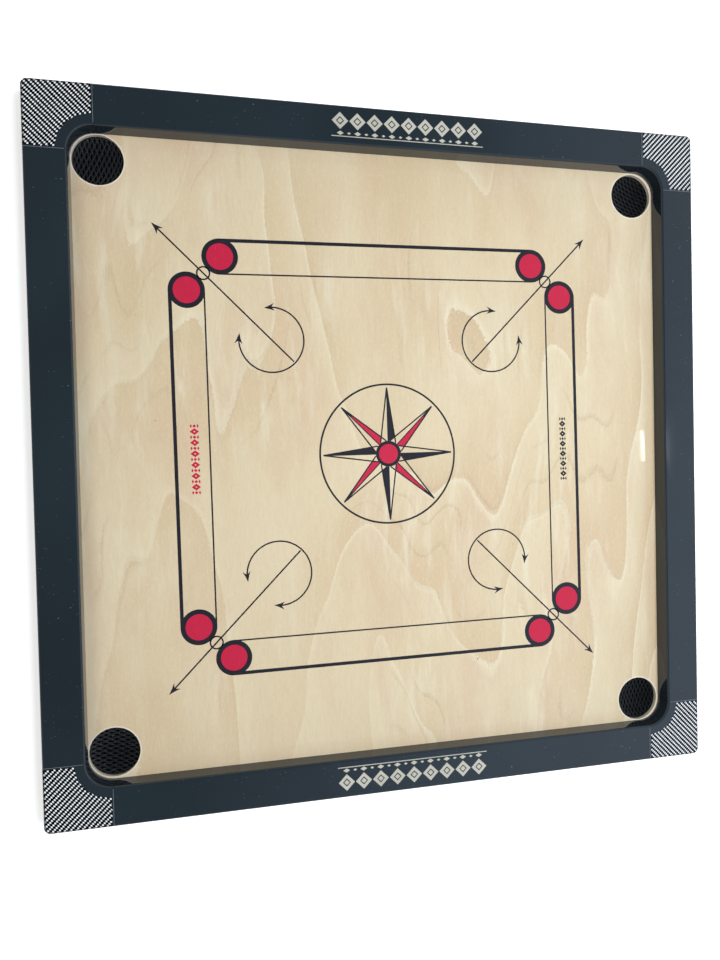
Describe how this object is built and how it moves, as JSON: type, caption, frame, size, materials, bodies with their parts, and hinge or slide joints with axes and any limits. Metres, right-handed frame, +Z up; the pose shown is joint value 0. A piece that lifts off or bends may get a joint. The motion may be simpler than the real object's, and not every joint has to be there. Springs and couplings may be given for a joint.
{
  "type": "carrom board",
  "caption": "Square tabletop game board: a raised black frame with corner blocks around a sunken plywood playing panel with netted corner pockets.",
  "frame": {"origin": "middle of the underside that the board rests on", "axes": "+Z up out of the playing surface, +X to the right, +Y away from the front rail"},
  "size_m": [0.66, 0.66, 0.038],
  "materials": {
    "rail_laminate": "glossy black laminate film over wood",
    "corner_laminate": "glossy black printed film with a pale hatched field",
    "playing_plywood": "lacquered pale rotary-cut veneer with printed lines",
    "batten_wood": "planed, unfinished",
    "dowel_wood": "raw turned wood",
    "net_fabric": "black knitted hexagonal mesh",
    "ring_plastic": "black moulded plastic",
    "fastener_steel": "zinc-plated"
  },
  "bodies": {
    "root": {"batten_across": "batten_wood", "batten_along": "batten_wood", "batten_crossing_screw": "fastener_steel", "batten_screw_back": "fastener_steel", "batten_screw_front": "fastener_steel", "batten_screw_left": "fastener_steel", "batten_screw_right": "fastener_steel", "corner_back_left": "corner_laminate", "corner_back_right": "corner_laminate", "corner_front_left": "corner_laminate", "corner_front_right": "corner_laminate", "dowel_back_left_lower": "dowel_wood", "dowel_back_left_upper": "dowel_wood", "dowel_back_right_lower": "dowel_wood", "dowel_back_right_upper": "dowel_wood", "dowel_front_left_lower": "dowel_wood", "dowel_front_left_upper": "dowel_wood", "dowel_front_right_lower": "dowel_wood", "dowel_front_right_upper": "dowel_wood", "dowel_left_left_lower": "dowel_wood", "dowel_left_left_upper": "dowel_wood", "dowel_left_right_lower": "dowel_wood", "dowel_left_right_upper": "dowel_wood", "dowel_right_left_lower": "dowel_wood", "dowel_right_left_upper": "dowel_wood", "dowel_right_right_lower": "dowel_wood", "dowel_right_right_upper": "dowel_wood", "net_ring_back_left": "ring_plastic", "net_ring_back_right": "ring_plastic", "net_ring_front_left": "ring_plastic", "net_ring_front_right": "ring_plastic", "panel_pin_back_1": "fastener_steel", "panel_pin_back_2": "fastener_steel", "panel_pin_front_1": "fastener_steel", "panel_pin_front_2": "fastener_steel", "panel_pin_left_1": "fastener_steel", "panel_pin_left_2": "fastener_steel", "panel_pin_right_1": "fastener_steel", "panel_pin_right_2": "fastener_steel", "playing_panel": "playing_plywood", "pocket_net_back_left": "net_fabric", "pocket_net_back_right": "net_fabric", "pocket_net_front_left": "net_fabric", "pocket_net_front_right": "net_fabric", "rail_back": "rail_laminate", "rail_front": "rail_laminate", "rail_left": "rail_laminate", "rail_right": "rail_laminate", "ring_tack_back_left_1": "fastener_steel", "ring_tack_back_left_2": "fastener_steel", "ring_tack_back_right_1": "fastener_steel", "ring_tack_back_right_2": "fastener_steel", "ring_tack_front_left_1": "fastener_steel", "ring_tack_front_left_2": "fastener_steel", "ring_tack_front_right_1": "fastener_steel", "ring_tack_front_right_2": "fastener_steel"}
  },
  "joints": []
}
